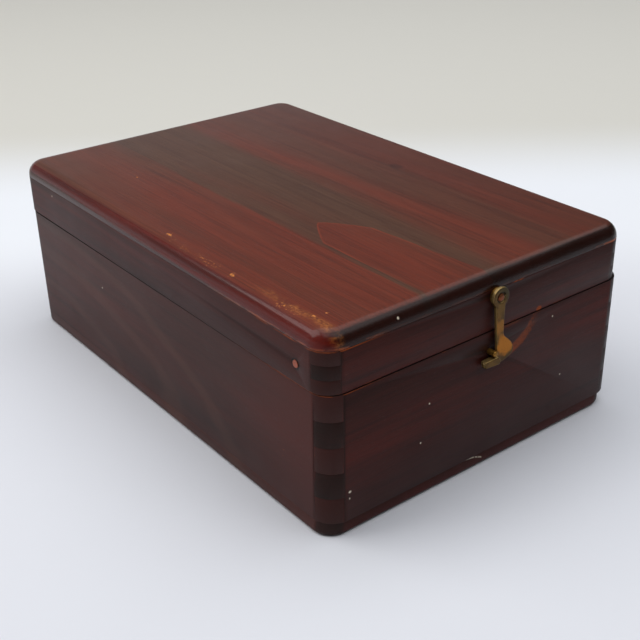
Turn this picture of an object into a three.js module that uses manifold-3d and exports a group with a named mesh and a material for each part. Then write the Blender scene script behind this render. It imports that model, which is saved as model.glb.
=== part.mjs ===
// Wooden fountain pen case with a hinged lid, a brass swing hook on the short front
// face, and a lift-out pen tray over a divided lower compartment.
// Millimetres, +Z up. The origin is in the plane of the base board's underside, midway
// between the walls' outer faces.
// The hook faces -Y, the hinges are on +Y, and the long sides face -X and +X.
import * as THREE from "three";
import Module from "manifold-3d";
import { mergeVertices } from "three/addons/utils/BufferGeometryUtils.js";

const wasm = await Module();
wasm.setup();

// Outside of the case.
const caseLength = 300;
const caseWidth = 200;
const cornerRadius = 12;
const wall = 10;
const baseThickness = 8;
const baseInset = 1; // at the front and the back; the left side is flush
const baseRightInset = 2.4;
const baseEdgeRadius = 2.5;
const bodyWallHeight = 69;
const bodyFingers = 5;
const rimDrop = 0.8; // the rim is planed down this much towards the hinges

// Lid. It has shrunk a little and crept to the left on its hinges.
const lidWidth = caseWidth - 1;
const lidLength = caseLength - 0.6;
const lidCreep = 1;
const lidWallPlaning = 0.5; // the lid rails are this much thinner than the body walls
const seamGap = 0.4;
const lidRailHeight = 21.6;
const lidFingers = 3;
const topThickness = 8.5;
const topNose = 8;
const pegRadius = 2;
const pegStop = 1.5; // wood left behind the peg
const pegFromFront = 20;
const pegAboveSeam = 10;
const pegProud = 0.3;

// Small allowances shared by the fits.
const glueLine = 0.05;
const looseFit = 0.3;

// Inside of the body.
const linerThickness = 5;
const trayRestHeight = 46;
const floorLiningThickness = 1;
const dividerThickness = 4;
const dividerDrop = 2;
const crossDividerCount = 2;

// Lift-out tray.
const trayClearance = 1.5;
const trayHeight = 24;
const trayWall = 5;
const trayBaseThickness = 4;
const trayFingers = 3;
const scoopRadius = 16;
const scoopDepth = 9;
const accessoryWell = 58;
const partitionThickness = 4;
const partitionDrop = 4;
const penBedHeight = 15;
const penCount = 8;
const grooveRadius = 9;
const grooveDepth = 8.5;
const beddingClearance = 0.4;
const wellLiningThickness = 1;

// Padded panel inside the lid.
const padThickness = 5;
const padClearance = 1.5;
const padEdge = 2;

// Butt hinges.
const hingeEndInset = 16; // from the inside of a side wall to the nearer end of a leaf
const leafLength = 38;
const leafThickness = 1.2;
const leafLand = 1.7; // wood left between a leaf and the inside of the wall
const leafGap = 0.2;
const knuckleRadius = 2.4;
const knuckleCount = 5;
const hingePinRadius = 1;
const hingePinPlay = 0.15;
const pinCapHeight = 0.8;
const screwSpacing = 22;
const screwShankRadius = 1;
const screwHeadRadius = 2;
const screwHeadDepth = 1;
const screwLength = 11;
const screwFit = 0.05;
const slotWidth = 0.5;
const slotDepth = 0.4;

// Swing hook on the front of the lid, and the pin on the body that it catches.
const pivotX = 2.8;
const pivotAboveSeam = 18.2;
const eyeRadius = 5.3;
const eyeHoleRadius = 1.7;
const eyeRecessRadius = 2.9;
const shankLeft = -2.5;
const shankRight = 3;
const eyeRecessDepth = 0.8;
const hookThickness = 2;
const hookEdge = 0.35;
const tabThickness = 1.1;
const washerRadius = 4.2;
const washerThickness = 1.6;
const pivotRadius = 1.5;
const pivotHeadRadius = 2.1;
const pivotHeadHeight = 1.2;
const pivotStop = 1.5; // wood left behind the pivot screw
const catchOffsetX = -2.6;
const catchDrop = 29.2;
const catchRadius = 1.5;
const catchStop = 2; // wood left behind the catch pin
const catchReach = 4.9;

// Derived sizes, heights and positions.
const lidWall = wall - lidWallPlaning;
const leafDepth = wall - leafLand;
const pegLength = lidWall - pegStop;
const pivotLength = lidWall - pivotStop;
const catchLength = wall - catchStop;
const seamHeight = baseThickness + bodyWallHeight;
const lidBase = seamHeight + seamGap;
const frontFace = -caseLength / 2;
const lidFrontFace = -lidLength / 2;
const insideWidth = caseWidth - 2 * wall;
const insideLength = caseLength - 2 * wall;
const backRim = seamHeight - rimDrop;
const hingeZ = (backRim + lidBase) / 2;
const hingeY = caseLength / 2 + knuckleRadius + looseFit;
const leafFront = caseLength / 2 - leafDepth;

const mahogany = { color: 0x5b3026, roughness: 0.45, metalness: 0 };
const mahoganyLight = { color: 0x7a4a33, roughness: 0.55, metalness: 0 };
const cedar = { color: 0x9a6a45, roughness: 0.7, metalness: 0 };
const agedBrass = { color: 0x7a5f2c, roughness: 0.45, metalness: 1 };
const copperRivet = { color: 0x7c4030, roughness: 0.5, metalness: 1 };
const redVelvet = { color: 0x5a0f18, roughness: 1, metalness: 0 };
const greenFelt = { color: 0x1f3b2a, roughness: 1, metalness: 0 };

// A closed geometry as a solid that can be cut and joined.
function solid(geometry) {
  const bare = geometry.index ? geometry.toNonIndexed() : geometry.clone();
  bare.deleteAttribute("normal");
  bare.deleteAttribute("uv");
  const merged = mergeVertices(bare, 1e-4);
  return new wasm.Manifold(
    new wasm.Mesh({
      numProp: 3,
      vertProperties: merged.attributes.position.array,
      triVerts: new Uint32Array(merged.index.array),
    }),
  );
}

// A solid back as a geometry with flat-shaded faces.
function surface(body) {
  const mesh = body.getMesh();
  const positions = new Float32Array(mesh.numVert * 3);
  for (let i = 0; i < mesh.numVert; i++) {
    positions.set(mesh.vertProperties.subarray(i * mesh.numProp, i * mesh.numProp + 3), i * 3);
  }
  const indexed = new THREE.BufferGeometry();
  indexed.setAttribute("position", new THREE.BufferAttribute(positions, 3));
  indexed.setIndex(new THREE.BufferAttribute(mesh.triVerts, 1));
  const flat = indexed.toNonIndexed();
  flat.computeVertexNormals();
  return flat;
}

// A box given by its lowest and highest corners.
function block(low, high) {
  const size = high.map((value, axis) => value - low[axis]);
  const geometry = new THREE.BoxGeometry(size[0], size[1], size[2]);
  geometry.translate(low[0] + size[0] / 2, low[1] + size[1] / 2, low[2] + size[2] / 2);
  return geometry;
}

// A round bar along X from the given end.
function barAlongX(radius, length, end, sides = 20) {
  const geometry = new THREE.CylinderGeometry(radius, radius, length, sides);
  geometry.rotateZ(-Math.PI / 2);
  geometry.translate(end[0] + length / 2, end[1], end[2]);
  return geometry;
}

// A round bar along Y from the given end.
function barAlongY(radius, length, end, sides = 24) {
  const geometry = new THREE.CylinderGeometry(radius, radius, length, sides);
  geometry.translate(end[0], end[1] + length / 2, end[2]);
  return geometry;
}

// A round bar along Z from the given end.
function barAlongZ(radius, length, end, sides = 16) {
  const geometry = new THREE.CylinderGeometry(radius, radius, length, sides);
  geometry.rotateX(Math.PI / 2);
  geometry.translate(end[0], end[1], end[2] + length / 2);
  return geometry;
}

// A rectangle with rounded corners, centred on the origin.
function roundedOutline(width, length, radius) {
  const x = width / 2 - radius;
  const y = length / 2 - radius;
  const outline = new THREE.Shape();
  outline.absarc(x, y, radius, 0, Math.PI / 2, false);
  outline.absarc(-x, y, radius, Math.PI / 2, Math.PI, false);
  outline.absarc(-x, -y, radius, Math.PI, 1.5 * Math.PI, false);
  outline.absarc(x, -y, radius, 1.5 * Math.PI, 2 * Math.PI, false);
  outline.closePath();
  return outline;
}

function roundedPrism(width, length, radius, height) {
  return new THREE.ExtrudeGeometry(roundedOutline(width, length, radius), {
    depth: height,
    bevelEnabled: false,
    curveSegments: 10,
  });
}

// A board with square lower edges and its upper edges rounded over.
function nosedBoard(width, length, corner, thickness, nose) {
  const outline = roundedOutline(width - 2 * nose, length - 2 * nose, corner - nose);
  const rounded = new THREE.ExtrudeGeometry(outline, {
    depth: thickness,
    bevelThickness: nose,
    bevelSize: nose,
    bevelSegments: 8,
    curveSegments: 8,
  });
  rounded.translate(0, 0, -nose);
  const keep = block([-width, -length, 0], [width, length, thickness + 1]);
  return solid(rounded).intersect(solid(keep));
}

// The outline of a board whose ends are cut into fingers, from z = 0 upwards. The board
// that owns the end fingers has a full-length finger at its bottom edge.
function fingerOutline(length, height, fingers, ownsEnds, inset, dropAtStart, dropAtEnd) {
  const pitch = height / fingers;
  const reach = (i) => (i % 2 === 0) === ownsEnds ? length / 2 : length / 2 - inset;
  const points = [];
  for (let i = 0; i < fingers; i++) {
    const top = (i + 1) * pitch - (i === fingers - 1 ? dropAtEnd : 0);
    points.push(new THREE.Vector2(reach(i), i * pitch));
    points.push(new THREE.Vector2(reach(i), top));
  }
  for (let i = fingers - 1; i >= 0; i--) {
    const top = (i + 1) * pitch - (i === fingers - 1 ? dropAtStart : 0);
    points.push(new THREE.Vector2(-reach(i), top));
    points.push(new THREE.Vector2(-reach(i), i * pitch));
  }
  return new THREE.Shape(points);
}

// A fingered board running along X, with its outer face on y = 0 and its inside towards +Y.
function boardAlongX(length, height, thickness, fingers, ownsEnds, inset, drop = 0) {
  const outline = fingerOutline(length, height, fingers, ownsEnds, inset, drop, drop);
  const geometry = new THREE.ExtrudeGeometry(outline, { depth: thickness, bevelEnabled: false });
  geometry.rotateX(Math.PI / 2);
  geometry.translate(0, thickness, 0);
  return geometry;
}

// A fingered board running along Y, with its outer face on x = 0 and its inside towards +X.
function boardAlongY(length, height, thickness, fingers, ownsEnds, inset, dropAtBack = 0) {
  const outline = fingerOutline(length, height, fingers, ownsEnds, inset, 0, dropAtBack);
  const geometry = new THREE.ExtrudeGeometry(outline, { depth: thickness, bevelEnabled: false });
  geometry.rotateX(Math.PI / 2);
  geometry.rotateZ(Math.PI / 2);
  return geometry;
}

function addPiece(group, name, shape, finish, position = [0, 0, 0], rotation = [0, 0, 0]) {
  const geometry = shape.isBufferGeometry ? shape : surface(shape);
  const mesh = new THREE.Mesh(geometry, new THREE.MeshStandardMaterial(finish));
  mesh.name = name;
  mesh.position.set(...position);
  mesh.rotation.set(...rotation);
  group.add(mesh);
}

// A countersunk wood screw with a slotted head. Its head is at z = 0 and it points down.
function woodScrew() {
  const profile = [
    [0, -screwLength],
    [screwShankRadius * 0.4, -screwLength + 0.6],
    [screwShankRadius, -screwLength + 3],
    [screwShankRadius, -screwHeadDepth],
    [screwHeadRadius, 0],
    [0, 0],
  ].map(([r, z]) => new THREE.Vector2(r, z));
  const turned = new THREE.LatheGeometry(profile, 16);
  turned.rotateX(Math.PI / 2);
  const slotHalf = screwHeadRadius + 1;
  const slot = block([-slotHalf, -slotWidth / 2, -slotDepth], [slotHalf, slotWidth / 2, 1]);
  return solid(turned).subtract(solid(slot));
}

// The space a wood screw needs, in the same place as the screw.
function screwHole() {
  const profile = [
    [0, -screwLength - 0.5],
    [screwShankRadius + screwFit, -screwLength - 0.5],
    [screwShankRadius + screwFit, -screwHeadDepth],
    [screwHeadRadius + screwFit, -screwFit],
    [screwHeadRadius + screwFit, 1],
    [0, 1],
  ].map(([r, z]) => new THREE.Vector2(r, z));
  const turned = new THREE.LatheGeometry(profile, 16);
  turned.rotateX(Math.PI / 2);
  return solid(turned);
}

const hingeOffset = insideWidth / 2 - hingeEndInset - leafLength / 2;
const hingeXs = { left: -hingeOffset, right: hingeOffset };
const screwXs = { a: -screwSpacing / 2, b: screwSpacing / 2 };
const screwY = (leafFront + caseLength / 2) / 2;
const leafFace = leafGap / 2;

// One leaf of a butt hinge about an axis along X at the origin. The lower leaf lies in the
// body's rim and holds the outer and middle knuckles. The upper leaf lies in the lid's rim.
function hingeLeaf(isUpper) {
  const side = isUpper ? 1 : -1;
  const z = [side * leafFace, side * (leafFace + leafThickness)].sort((a, b) => a - b);
  const pitch = leafLength / knuckleCount;
  const front = leafFront - hingeY;
  let leaf = solid(block([-leafLength / 2, front, z[0]], [leafLength / 2, -knuckleRadius - looseFit, z[1]]));
  for (let i = isUpper ? 1 : 0; i < knuckleCount; i += 2) {
    const start = -leafLength / 2 + i * pitch + (i === 0 ? 0 : looseFit / 2);
    const end = -leafLength / 2 + (i + 1) * pitch - (i === knuckleCount - 1 ? 0 : looseFit / 2);
    const knuckle = solid(barAlongX(knuckleRadius, end - start, [start, 0, 0]));
    const neck = solid(block([start, -knuckleRadius - 1, z[0]], [end, 0, z[1]]));
    leaf = leaf.add(knuckle).add(neck);
  }
  const bore = barAlongX(hingePinRadius + hingePinPlay, leafLength + 2, [-leafLength / 2 - 1, 0, 0], 16);
  leaf = leaf.subtract(solid(bore));
  for (const x of Object.values(screwXs)) {
    const hole = isUpper ? screwHole().rotate([180, 0, 0]) : screwHole();
    leaf = leaf.subtract(hole.translate([x, screwY - hingeY, side * leafFace]));
  }
  return leaf;
}

// The pin through a hinge's knuckles, with a low cap on each end.
function hingePin() {
  const half = leafLength / 2 + looseFit / 2;
  const profile = [
    [0, -half - pinCapHeight],
    [knuckleRadius * 0.6, -half - pinCapHeight * 0.7],
    [knuckleRadius * 0.9, -half],
    [hingePinRadius, -half],
    [hingePinRadius, half],
    [knuckleRadius * 0.9, half],
    [knuckleRadius * 0.6, half + pinCapHeight * 0.7],
    [0, half + pinCapHeight],
  ].map(([r, z]) => new THREE.Vector2(r, z));
  const turned = new THREE.LatheGeometry(profile, 16);
  turned.rotateZ(-Math.PI / 2);
  return turned;
}

// Cuts a rim for both hinges: a shallow mortise for each leaf, and a hole for each screw.
function cutForHinges(rim, isUpper) {
  const side = isUpper ? 1 : -1;
  const deep = hingeZ + side * (leafFace + leafThickness + glueLine);
  const clear = hingeZ - side * knuckleRadius;
  const z = [deep, clear].sort((a, b) => a - b);
  for (const hingeX of Object.values(hingeXs)) {
    const half = leafLength / 2 + screwFit;
    rim = rim.subtract(
      solid(block([hingeX - half, leafFront - screwFit, z[0]], [hingeX + half, caseLength / 2 + 5, z[1]])),
    );
    for (const x of Object.values(screwXs)) {
      const hole = isUpper ? screwHole().rotate([180, 0, 0]) : screwHole();
      rim = rim.subtract(hole.translate([hingeX + x, screwY, hingeZ + side * leafFace]));
    }
  }
  return rim;
}

// ---- Case body ----
const caseBody = new THREE.Group();
caseBody.name = "case_body";

const bodyEnvelope = solid(roundedPrism(caseWidth, caseLength, cornerRadius, bodyWallHeight + 1));
const sideWall = boardAlongY(caseLength, bodyWallHeight, wall, bodyFingers, true, wall, rimDrop);
const endWall = boardAlongX(caseWidth, bodyWallHeight, wall, bodyFingers, false, wall);
const backWall = boardAlongX(caseWidth, bodyWallHeight, wall, bodyFingers, false, wall, rimDrop);

const baseBoard = nosedBoard(
  caseWidth - baseRightInset,
  caseLength - 2 * baseInset,
  cornerRadius - baseInset,
  baseThickness,
  baseEdgeRadius,
);
const baseX = -baseRightInset / 2;
addPiece(caseBody, "base_board", baseBoard, mahogany, [baseX, 0, baseThickness], [Math.PI, 0, 0]);

const leftWall = solid(sideWall).translate([-caseWidth / 2, 0, 0]).intersect(bodyEnvelope);
const rightWall = leftWall.mirror([1, 0, 0]);
addPiece(caseBody, "body_left_wall", leftWall, mahogany, [0, 0, baseThickness]);
addPiece(caseBody, "body_right_wall", rightWall, mahogany, [0, 0, baseThickness]);

const pivotZ = lidBase + pivotAboveSeam;
const catchX = pivotX + catchOffsetX;
const catchZ = pivotZ - catchDrop;
const catchHoleStart = [catchX, frontFace - 1, catchZ - baseThickness];
const catchHole = barAlongY(catchRadius + screwFit, catchLength + 1, catchHoleStart);
const frontWall = solid(endWall)
  .translate([0, frontFace, 0])
  .intersect(bodyEnvelope)
  .subtract(solid(catchHole));
addPiece(caseBody, "body_front_wall", frontWall, mahogany, [0, 0, baseThickness]);

const plainBackWall = solid(backWall)
  .rotate([0, 0, 180])
  .translate([0, caseLength / 2, 0])
  .intersect(bodyEnvelope)
  .translate([0, 0, baseThickness]);
addPiece(caseBody, "body_back_wall", cutForHinges(plainBackWall, false), mahogany);

// Liners stand on the base against the walls and carry the tray.
const linerHeight = trayRestHeight - baseThickness;
const sideLiner = block(
  [0, -insideLength / 2, 0],
  [linerThickness - glueLine, insideLength / 2, linerHeight],
);
const endLinerHalf = insideWidth / 2 - linerThickness;
const endLiner = block([-endLinerHalf, 0, 0], [endLinerHalf, linerThickness - glueLine, linerHeight]);
const linerX = insideWidth / 2 - glueLine;
const linerY = insideLength / 2 - glueLine;
addPiece(caseBody, "liner_left", sideLiner, cedar, [-linerX, 0, baseThickness]);
addPiece(caseBody, "liner_right", sideLiner, cedar, [linerX, 0, baseThickness], [0, 0, Math.PI]);
addPiece(caseBody, "liner_front", endLiner, cedar, [0, -linerY, baseThickness]);
addPiece(caseBody, "liner_back", endLiner, cedar, [0, linerY, baseThickness], [0, 0, Math.PI]);

// Lower compartment: felt floor, one long divider and the cross dividers halved over it.
const floorWidth = insideWidth - 2 * linerThickness - 2 * looseFit;
const floorLength = insideLength - 2 * linerThickness - 2 * looseFit;
const floorTop = baseThickness + floorLiningThickness;
const floorLining = block(
  [-floorWidth / 2, -floorLength / 2, glueLine],
  [floorWidth / 2, floorLength / 2, floorLiningThickness],
);
addPiece(caseBody, "floor_lining", floorLining, greenFelt, [0, 0, baseThickness]);

const dividerHeight = trayRestHeight - dividerDrop - floorTop;
const crossDividerYs = [];
for (let i = 1; i <= crossDividerCount; i++) {
  crossDividerYs.push(-floorLength / 2 + (floorLength * i) / (crossDividerCount + 1));
}
const notchHalf = dividerThickness / 2 + looseFit;
let longDivider = solid(
  block(
    [-dividerThickness / 2, -floorLength / 2, glueLine],
    [dividerThickness / 2, floorLength / 2, dividerHeight],
  ),
);
for (const y of crossDividerYs) {
  const notch = block([-wall, y - notchHalf, dividerHeight / 2], [wall, y + notchHalf, dividerHeight + 1]);
  longDivider = longDivider.subtract(solid(notch));
}
addPiece(caseBody, "divider_long", longDivider, cedar, [0, 0, floorTop]);

const crossNotch = block([-notchHalf, -wall, -1], [notchHalf, wall, dividerHeight / 2 + looseFit]);
const crossDivider = solid(
  block(
    [-floorWidth / 2, -dividerThickness / 2, glueLine],
    [floorWidth / 2, dividerThickness / 2, dividerHeight],
  ),
).subtract(solid(crossNotch));
crossDividerYs.forEach((y, i) => {
  addPiece(caseBody, "divider_cross_" + (i + 1), crossDivider, cedar, [0, y, floorTop]);
});

const catchPin = new THREE.LatheGeometry(
  [
    [0, -catchLength],
    [catchRadius, -catchLength],
    [catchRadius, catchReach - 0.8],
    [catchRadius * 0.75, catchReach - 0.2],
    [0, catchReach],
  ].map(([r, y]) => new THREE.Vector2(r, y)),
  20,
);
addPiece(caseBody, "latch_catch_pin", catchPin, agedBrass, [catchX, frontFace, catchZ], [0, 0, Math.PI]);

// ---- Lid ----
const lid = new THREE.Group();
lid.name = "lid";

const lidEnvelope = solid(roundedPrism(lidWidth, lidLength, cornerRadius, lidRailHeight + 1)).translate([
  -lidCreep,
  0,
  lidBase,
]);
const lidSide = solid(boardAlongY(lidLength, lidRailHeight, lidWall, lidFingers, true, lidWall)).translate([
  -lidWidth / 2,
  0,
  0,
]);
const lidEnd = solid(boardAlongX(lidWidth, lidRailHeight, lidWall, lidFingers, false, lidWall)).translate([
  0,
  lidFrontFace,
  0,
]);
const toLid = [-lidCreep, 0, lidBase];

const pegY = lidFrontFace + pegFromFront;
const pegZ = lidBase + pegAboveSeam;
const lidLeftFace = -lidCreep - lidWidth / 2;
const pegHole = barAlongX(pegRadius + screwFit, pegLength + 1, [lidLeftFace - 1, pegY, pegZ], 16);
const leftRail = lidSide.translate(toLid).intersect(lidEnvelope).subtract(solid(pegHole));
addPiece(lid, "lid_left_rail", leftRail, mahogany);
const peg = barAlongX(pegRadius, pegLength - screwFit + pegProud, [0, 0, 0], 16);
addPiece(lid, "lid_corner_peg", peg, mahoganyLight, [lidLeftFace - pegProud, pegY, pegZ]);

const rightRail = lidSide.mirror([1, 0, 0]).translate(toLid).intersect(lidEnvelope);
addPiece(lid, "lid_right_rail", rightRail, mahogany);

const pivotHole = barAlongY(pivotRadius + screwFit, pivotLength + 1, [pivotX, lidFrontFace - 1, pivotZ]);
const frontRail = lidEnd.translate(toLid).intersect(lidEnvelope).subtract(solid(pivotHole));
addPiece(lid, "lid_front_rail", frontRail, mahogany);

const backRail = lidEnd.rotate([0, 0, 180]).translate(toLid).intersect(lidEnvelope);
addPiece(lid, "lid_back_rail", cutForHinges(backRail, true), mahogany);

const topBoard = nosedBoard(lidWidth, lidLength, cornerRadius, topThickness, topNose);
addPiece(lid, "lid_top_board", topBoard, mahogany, [-lidCreep, 0, lidBase + lidRailHeight + glueLine]);

// The padded panel's lower edges are rounded over.
const padWidth = lidWidth - 2 * lidWall - 2 * padClearance;
const padLength = lidLength - 2 * lidWall - 2 * padClearance;
const lidPad = nosedBoard(padWidth, padLength, padEdge + 1, padThickness, padEdge);
const padZ = lidBase + lidRailHeight - glueLine;
addPiece(lid, "lid_pad", lidPad, redVelvet, [-lidCreep, 0, padZ], [Math.PI, 0, 0]);

// ---- Hinges ----
for (const [side, hingeX] of Object.entries(hingeXs)) {
  const lowerHalf = new THREE.Group();
  lowerHalf.name = "hinge_" + side + "_lower";
  lowerHalf.position.set(hingeX, hingeY, hingeZ);
  addPiece(lowerHalf, "hinge_" + side + "_body_leaf", hingeLeaf(false), agedBrass);
  addPiece(lowerHalf, "hinge_" + side + "_pin", hingePin(), agedBrass);
  caseBody.add(lowerHalf);

  const upperHalf = new THREE.Group();
  upperHalf.name = "hinge_" + side + "_upper";
  upperHalf.position.set(hingeX, hingeY, hingeZ);
  addPiece(upperHalf, "hinge_" + side + "_lid_leaf", hingeLeaf(true), agedBrass);
  lid.add(upperHalf);

  for (const [mark, x] of Object.entries(screwXs)) {
    const below = [x, screwY - hingeY, -leafFace - screwFit / 2];
    const above = [x, screwY - hingeY, leafFace + screwFit / 2];
    const bodyScrew = "hinge_" + side + "_body_screw_" + mark;
    const lidScrew = "hinge_" + side + "_lid_screw_" + mark;
    addPiece(lowerHalf, bodyScrew, woodScrew(), agedBrass, below);
    addPiece(upperHalf, lidScrew, woodScrew(), agedBrass, above, [Math.PI, 0, 0]);
  }
}

// ---- Swing hook ----
const latch = new THREE.Group();
latch.name = "latch";
latch.position.set(pivotX, lidFrontFace, pivotZ);

const washer = solid(barAlongY(washerRadius, washerThickness, [0, -washerThickness, 0])).subtract(
  solid(barAlongY(pivotRadius + screwFit, washerThickness + 2, [0, -washerThickness - 1, 0])),
);
addPiece(latch, "latch_washer", washer, agedBrass);

// The hook hangs from its eye. Its throat opens to the left, round the catch pin, with a
// belly on the right and a thicker thumb tab on the lower left.
function hookOutline() {
  const outline = new THREE.Shape();
  const shoulder = 0.62;
  const startX = eyeRadius * Math.sin(shoulder);
  const startZ = -eyeRadius * Math.cos(shoulder);
  const throatX = catchOffsetX + catchRadius + looseFit;
  const throatZ = -catchDrop - catchRadius - 0.6;
  outline.moveTo(startX, startZ);
  outline.absarc(0, 0, eyeRadius, -Math.PI / 2 + shoulder, 1.5 * Math.PI - shoulder, false);
  outline.quadraticCurveTo(shankLeft - 0.2, -6.6, shankLeft, -9.5);
  outline.lineTo(throatX, -catchDrop + 3);
  outline.lineTo(throatX, throatZ + 1);
  outline.quadraticCurveTo(throatX, throatZ, throatX - 1, throatZ);
  outline.lineTo(-8.7, throatZ - 0.3);
  outline.quadraticCurveTo(-9.8, throatZ - 0.3, -9.6, throatZ - 1.4);
  outline.lineTo(-9.2, throatZ - 3.4);
  outline.quadraticCurveTo(-8.9, throatZ - 4.2, -7.9, throatZ - 4.2);
  outline.lineTo(0.4, throatZ - 4.5);
  outline.quadraticCurveTo(4, throatZ - 4.4, 8.6, throatZ - 2.4);
  outline.quadraticCurveTo(11, throatZ - 1.2, 10.4, throatZ + 1.6);
  outline.quadraticCurveTo(9.4, throatZ + 5, 5.4, throatZ + 8.2);
  outline.quadraticCurveTo(shankRight, throatZ + 10, shankRight, throatZ + 12);
  outline.lineTo(shankRight, -8.4);
  outline.quadraticCurveTo(shankRight, -6, startX, startZ);
  return outline;
}

function thumbTabOutline() {
  const top = -catchDrop - catchRadius - 1.2;
  const outline = new THREE.Shape();
  outline.moveTo(-9, top);
  outline.lineTo(-0.6, top + 0.2);
  outline.lineTo(1, top - 1.8);
  outline.lineTo(0.4, top - 3.6);
  outline.lineTo(-8.5, top - 3);
  outline.closePath();
  return outline;
}

function hookSolid() {
  const plate = new THREE.ExtrudeGeometry(hookOutline(), {
    depth: hookThickness - 2 * hookEdge,
    bevelThickness: hookEdge,
    bevelSize: hookEdge,
    bevelOffset: -hookEdge,
    bevelSegments: 2,
    curveSegments: 8,
  });
  plate.translate(0, 0, hookEdge);
  const tab = new THREE.ExtrudeGeometry(thumbTabOutline(), {
    depth: hookThickness + tabThickness - 0.6,
    bevelThickness: 0.5,
    bevelSize: 0.5,
    bevelOffset: -0.2,
    bevelSegments: 2,
  });
  tab.translate(0, 0, 0.1);
  const hole = barAlongZ(eyeHoleRadius, hookThickness + 2, [0, 0, -1], 24);
  const recess = barAlongZ(eyeRecessRadius, hookThickness, [0, 0, hookThickness - eyeRecessDepth], 28);
  return solid(plate).add(solid(tab)).subtract(solid(hole)).subtract(solid(recess));
}

// The outline is drawn in the plane of the front face, and its thickness comes forward.
const hookBack = -washerThickness - 0.2;
addPiece(latch, "latch_hook", hookSolid(), agedBrass, [0, hookBack, 0], [Math.PI / 2, 0, 0]);

const headSeat = -hookBack + hookThickness - eyeRecessDepth + 0.1;
const pivotScrew = new THREE.LatheGeometry(
  [
    [0, -pivotLength],
    [pivotRadius * 0.5, -pivotLength],
    [pivotRadius, -pivotLength + 2],
    [pivotRadius, headSeat],
    [pivotHeadRadius, headSeat],
    [pivotHeadRadius * 0.93, headSeat + pivotHeadHeight * 0.45],
    [pivotHeadRadius * 0.6, headSeat + pivotHeadHeight * 0.85],
    [0, headSeat + pivotHeadHeight],
  ].map(([r, y]) => new THREE.Vector2(r, y)),
  24,
);
addPiece(latch, "latch_pivot_screw", pivotScrew, copperRivet, [0, 0, 0], [0, 0, Math.PI]);
lid.add(latch);

// ---- Lift-out pen tray ----
const penTray = new THREE.Group();
penTray.name = "pen_tray";
penTray.position.set(0, 0, trayRestHeight);

const trayWidth = insideWidth - 2 * trayClearance;
const trayLength = insideLength - 2 * trayClearance;
const trayWallHeight = trayHeight - trayBaseThickness;
const trayInsideWidth = trayWidth - 2 * trayWall;
const trayInsideLength = trayLength - 2 * trayWall;

const trayBase = block(
  [-trayWidth / 2, -trayLength / 2, 0],
  [trayWidth / 2, trayLength / 2, trayBaseThickness - glueLine],
);
addPiece(penTray, "tray_base", trayBase, cedar);

const traySide = boardAlongY(trayLength, trayWallHeight, trayWall, trayFingers, true, trayWall);
addPiece(penTray, "tray_left", traySide, cedar, [-trayWidth / 2, 0, trayBaseThickness]);
addPiece(penTray, "tray_right", traySide, cedar, [trayWidth / 2, 0, trayBaseThickness], [0, 0, Math.PI]);

// Each end of the tray has a finger scoop to lift it by.
const scoop = barAlongY(scoopRadius, trayWall + 2, [0, -1, trayWallHeight + scoopRadius - scoopDepth], 40);
const plainTrayEnd = boardAlongX(trayWidth, trayWallHeight, trayWall, trayFingers, false, trayWall);
const trayEnd = solid(plainTrayEnd).subtract(solid(scoop));
addPiece(penTray, "tray_front", trayEnd, cedar, [0, -trayLength / 2, trayBaseThickness]);
addPiece(penTray, "tray_back", trayEnd, cedar, [0, trayLength / 2, trayBaseThickness], [0, 0, Math.PI]);

const partitionHalf = trayInsideWidth / 2 - glueLine;
const partitionHeight = trayWallHeight - partitionDrop;
const partition = block([-partitionHalf, 0, glueLine], [partitionHalf, partitionThickness, partitionHeight]);
const partitionY = trayInsideLength / 2 - accessoryWell - partitionThickness;
addPiece(penTray, "tray_partition", partition, cedar, [0, partitionY, trayBaseThickness]);

// The pen bed has one rounded groove across it for each pen.
const bedStart = -trayInsideLength / 2 + beddingClearance;
const bedLength = partitionY - beddingClearance - bedStart;
const bedWidth = trayInsideWidth - 2 * beddingClearance;
const penPitch = bedLength / penCount;
const penYs = Array.from({ length: penCount }, (_, i) => (i + 0.5) * penPitch);
const grooveLift = grooveRadius - grooveDepth;
const grooveHalf = Math.sqrt(grooveRadius ** 2 - grooveLift ** 2);
const grooveTurn = Math.acos(grooveLift / grooveRadius);
const bedProfile = new THREE.Shape();
bedProfile.moveTo(bedLength, 0);
bedProfile.lineTo(bedLength, penBedHeight);
for (const y of [...penYs].reverse()) {
  bedProfile.lineTo(y + grooveHalf, penBedHeight);
  bedProfile.absarc(
    y,
    penBedHeight + grooveLift,
    grooveRadius,
    -Math.PI / 2 + grooveTurn,
    -Math.PI / 2 - grooveTurn,
    true,
  );
}
bedProfile.lineTo(0, penBedHeight);
bedProfile.lineTo(0, 0);
bedProfile.closePath();
const penBed = new THREE.ExtrudeGeometry(bedProfile, {
  depth: bedWidth,
  bevelEnabled: false,
  curveSegments: 12,
});
penBed.rotateX(Math.PI / 2);
penBed.rotateZ(Math.PI / 2);
addPiece(penTray, "pen_bed", penBed, redVelvet, [-bedWidth / 2, bedStart, trayBaseThickness]);

const wellWidth = trayInsideWidth - 2 * beddingClearance;
const wellLength = accessoryWell - 2 * beddingClearance;
const wellLining = block(
  [-wellWidth / 2, -wellLength / 2, glueLine],
  [wellWidth / 2, wellLength / 2, wellLiningThickness],
);
const wellY = trayInsideLength / 2 - accessoryWell / 2;
addPiece(penTray, "well_lining", wellLining, redVelvet, [0, wellY, trayBaseThickness]);

const penCase = new THREE.Group();
penCase.name = "fountain_pen_case";
penCase.add(caseBody, lid, penTray);

export default penCase;
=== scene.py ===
import math

import bpy
from mathutils import Matrix, Vector, noise


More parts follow.
